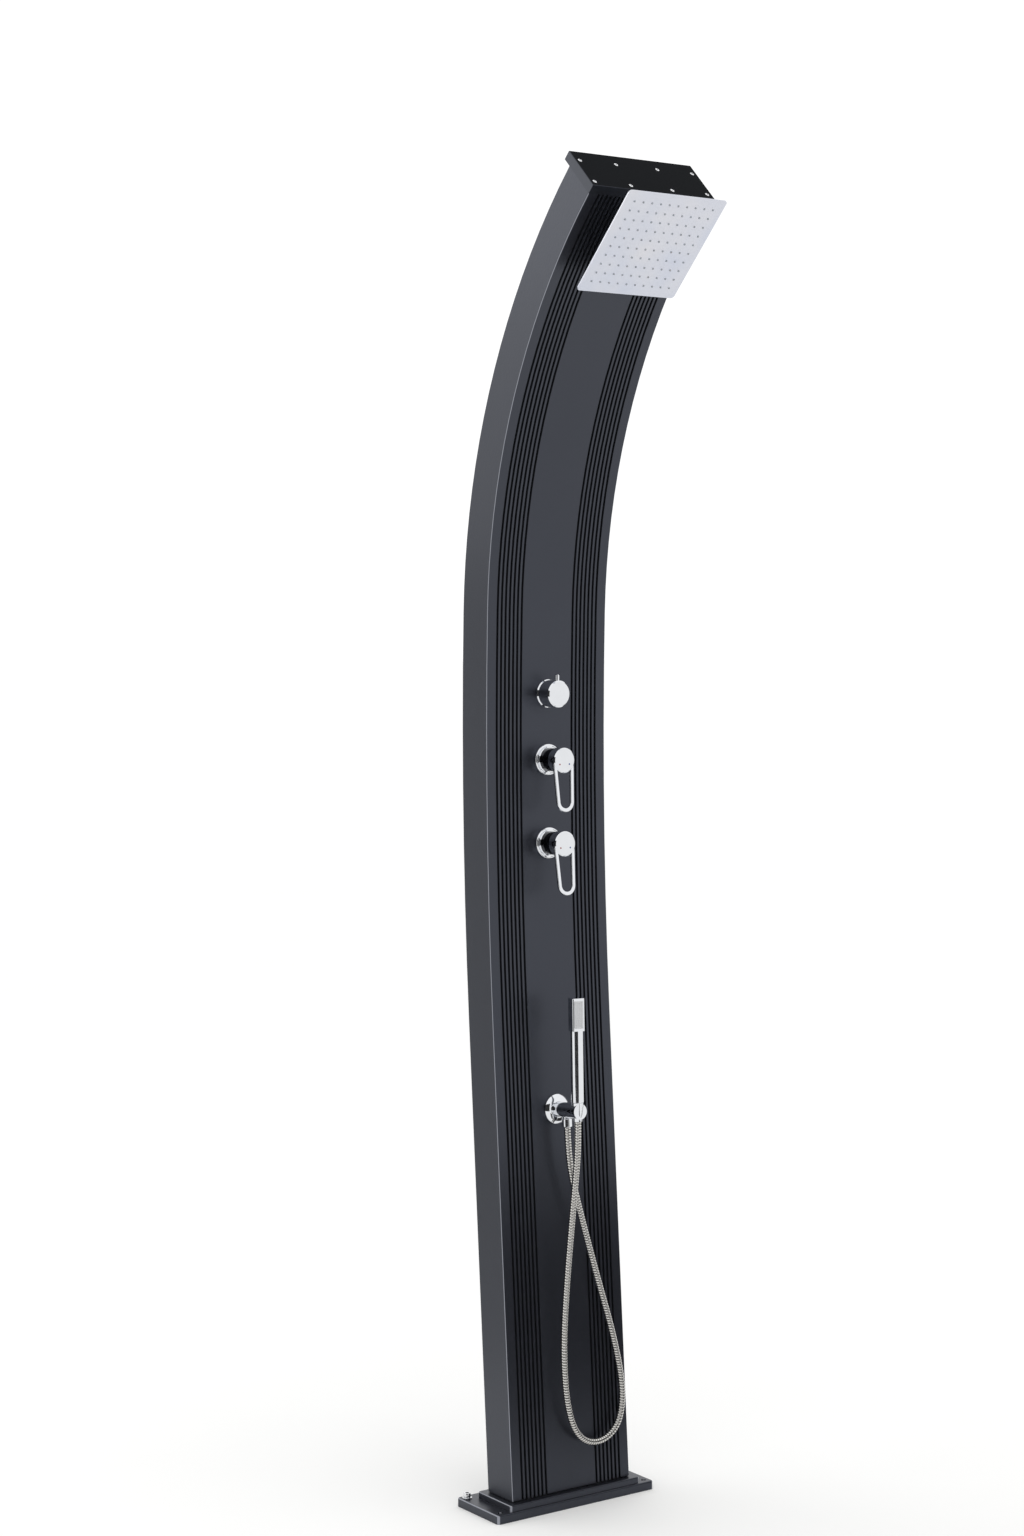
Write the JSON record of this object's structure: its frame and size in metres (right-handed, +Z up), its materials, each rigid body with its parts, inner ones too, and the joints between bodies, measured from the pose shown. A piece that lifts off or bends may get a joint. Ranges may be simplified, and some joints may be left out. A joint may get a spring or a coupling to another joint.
{
  "type": "outdoor shower",
  "caption": "Free-standing outdoor shower: a bowed grooved column on a bolted foot plate, with a square rain head, diverter knob, lever mixers and a stick hand shower on a ribbed hose.",
  "frame": {"origin": "middle of the foot plate's underside, on the floor", "axes": "+Z up, +X to the user's right as they face the shower, the front looks along -Y"},
  "size_m": [0.333, 0.4319, 2.2707],
  "materials": {
    "graphite_aluminium": "satin graphite coat over extruded aluminium",
    "black_aluminium": "satin near-black coat",
    "chrome": "polished",
    "dark_chrome": "polished, dark",
    "steel": "fine satin",
    "screw_steel": "bright zinc",
    "brass": "machined",
    "copper_pipe": "drawn copper",
    "rubber": "matt",
    "silicone": "soft grey",
    "spray_plastic": "satin pale grey",
    "ball_plastic": "acetal"
  },
  "bodies": {
    "column_assembly": {"foot_plate": "graphite_aluminium", "foot_gasket": "rubber", "foot_screws": "screw_steel", "column": "graphite_aluminium", "top_cap": "black_aluminium", "cap_screws": "screw_steel", "head_stub": "chrome", "head_elbow": "brass", "diverter_ring": "chrome", "diverter_body": "brass", "outlet_flange": "chrome", "outlet_body": "chrome", "outlet_elbow": "brass", "hose_nut": "chrome", "handset_holder": "chrome", "hose": "chrome", "hot_inlet": "brass", "cold_inlet": "brass", "hot_riser": "copper_pipe", "cold_riser": "copper_pipe", "hot_link": "copper_pipe", "cold_link": "copper_pipe", "handset_feed": "copper_pipe", "mixed_riser": "copper_pipe", "head_riser": "copper_pipe", "upper_flange": "chrome", "upper_sleeve": "dark_chrome", "upper_valve_body": "brass", "upper_cartridge": "ball_plastic", "lower_flange": "chrome", "lower_sleeve": "dark_chrome", "lower_valve_body": "brass", "lower_cartridge": "ball_plastic"},
    "head_ring": {"head_seat_ring": "ball_plastic"},
    "rain_head": {"head_nut": "chrome", "head_shell": "steel", "head_face": "steel", "nozzle_mat": "silicone"},
    "diverter": {"diverter_knob": "chrome", "diverter_spindle": "brass"},
    "hose_end": {"hose_cone": "chrome"},
    "handset": {"handset_body": "chrome", "spray_face": "spray_plastic"},
    "upper_carrier": {"upper_carrier": "brass", "upper_pivot_pin": "screw_steel"},
    "upper_lever": {"upper_lever": "chrome"},
    "lower_carrier": {"lower_carrier": "brass", "lower_pivot_pin": "screw_steel"},
    "lower_lever": {"lower_lever": "chrome"}
  },
  "joints": [
    {"name": "head_tilt", "type": "hinge", "parent": "column_assembly", "child": "head_ring", "pos_m": [0, -0.23964, 2.14189], "axis": [1, 0, 0], "range_deg": [-8, 8]},
    {"name": "head_roll", "type": "hinge", "parent": "head_ring", "child": "rain_head", "pos_m": [0, -0.23964, 2.14189], "axis": [0, -0.7034, 0.7108], "range_deg": [-8, 8]},
    {"name": "diverter_turn", "type": "hinge", "parent": "column_assembly", "child": "diverter", "pos_m": [0, 0.03044, 1.39399], "axis": [0, -1, -0.0079], "range_deg": [-90, 90]},
    {"name": "handset_lift", "type": "slide", "parent": "column_assembly", "child": "hose_end", "axis": [0, 0.0244, 0.9997], "range_m": [0, 0.06], "deforming": ["hose"]},
    {"name": "handset_swivel", "type": "hinge", "parent": "hose_end", "child": "handset", "pos_m": [0, -0.0606, 0.68396], "axis": [0, 0.0244, 0.9997], "range_deg": [-90, 90]},
    {"name": "upper_turn", "type": "hinge", "parent": "column_assembly", "child": "upper_carrier", "pos_m": [0, 0.03042, 1.28049], "axis": [0, -1, 0.0084], "range_deg": [-45, 45]},
    {"name": "upper_lift", "type": "hinge", "parent": "upper_carrier", "child": "upper_lever", "pos_m": [0, 0.00842, 1.28067], "axis": [-1, 0, 0], "range_deg": [0, 20]},
    {"name": "lower_turn", "type": "hinge", "parent": "column_assembly", "child": "lower_carrier", "pos_m": [0, 0.02773, 1.13702], "axis": [0, -0.9996, 0.029], "range_deg": [-45, 45]},
    {"name": "lower_lift", "type": "hinge", "parent": "lower_carrier", "child": "lower_lever", "pos_m": [0, 0.00574, 1.13765], "axis": [-1, 0, 0], "range_deg": [0, 20]}
  ]
}
